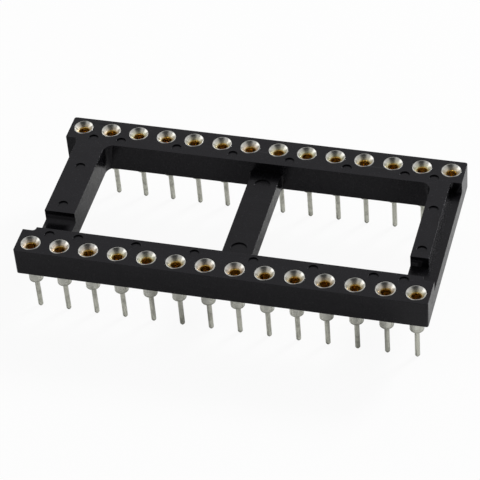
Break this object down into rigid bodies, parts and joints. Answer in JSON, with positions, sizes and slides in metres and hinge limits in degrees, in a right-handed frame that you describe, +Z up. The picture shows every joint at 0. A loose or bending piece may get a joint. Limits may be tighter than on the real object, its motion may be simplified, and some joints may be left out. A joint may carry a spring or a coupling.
{
  "type": "ic socket",
  "caption": "Open-frame dual in-line chip socket: a black moulded frame with cross bars, and two rows of tin-plated turned sleeves with gold-plated spring clips and solder tails.",
  "frame": {"origin": "middle of the contact pattern, on the plane where the collars' shoulders stand on the board", "axes": "+X along the contact rows, +Y from the row of contacts 1 to 14 to the other row, +Z up from the board to the chip"},
  "size_m": [0.0354, 0.0176, 0.0073],
  "materials": {
    "black_plastic": "fine matte moulded surface, glass-filled thermoplastic",
    "tin_plate": "turned brass with bright tin plate",
    "gold_plate": "beryllium copper with a thin gold plate"
  },
  "bodies": {
    "root": {"insulator": "black_plastic", "sleeve_01": "tin_plate", "sleeve_02": "tin_plate", "sleeve_03": "tin_plate", "sleeve_04": "tin_plate", "sleeve_05": "tin_plate", "sleeve_06": "tin_plate", "sleeve_07": "tin_plate", "sleeve_08": "tin_plate", "sleeve_09": "tin_plate", "sleeve_10": "tin_plate", "sleeve_11": "tin_plate", "sleeve_12": "tin_plate", "sleeve_13": "tin_plate", "sleeve_14": "tin_plate", "sleeve_15": "tin_plate", "sleeve_16": "tin_plate", "sleeve_17": "tin_plate", "sleeve_18": "tin_plate", "sleeve_19": "tin_plate", "sleeve_20": "tin_plate", "sleeve_21": "tin_plate", "sleeve_22": "tin_plate", "sleeve_23": "tin_plate", "sleeve_24": "tin_plate", "sleeve_25": "tin_plate", "sleeve_26": "tin_plate", "sleeve_27": "tin_plate", "sleeve_28": "tin_plate", "spring_clip_01": "gold_plate", "spring_clip_02": "gold_plate", "spring_clip_03": "gold_plate", "spring_clip_04": "gold_plate", "spring_clip_05": "gold_plate", "spring_clip_06": "gold_plate", "spring_clip_07": "gold_plate", "spring_clip_08": "gold_plate", "spring_clip_09": "gold_plate", "spring_clip_10": "gold_plate", "spring_clip_11": "gold_plate", "spring_clip_12": "gold_plate", "spring_clip_13": "gold_plate", "spring_clip_14": "gold_plate", "spring_clip_15": "gold_plate", "spring_clip_16": "gold_plate", "spring_clip_17": "gold_plate", "spring_clip_18": "gold_plate", "spring_clip_19": "gold_plate", "spring_clip_20": "gold_plate", "spring_clip_21": "gold_plate", "spring_clip_22": "gold_plate", "spring_clip_23": "gold_plate", "spring_clip_24": "gold_plate", "spring_clip_25": "gold_plate", "spring_clip_26": "gold_plate", "spring_clip_27": "gold_plate", "spring_clip_28": "gold_plate"}
  },
  "joints": []
}
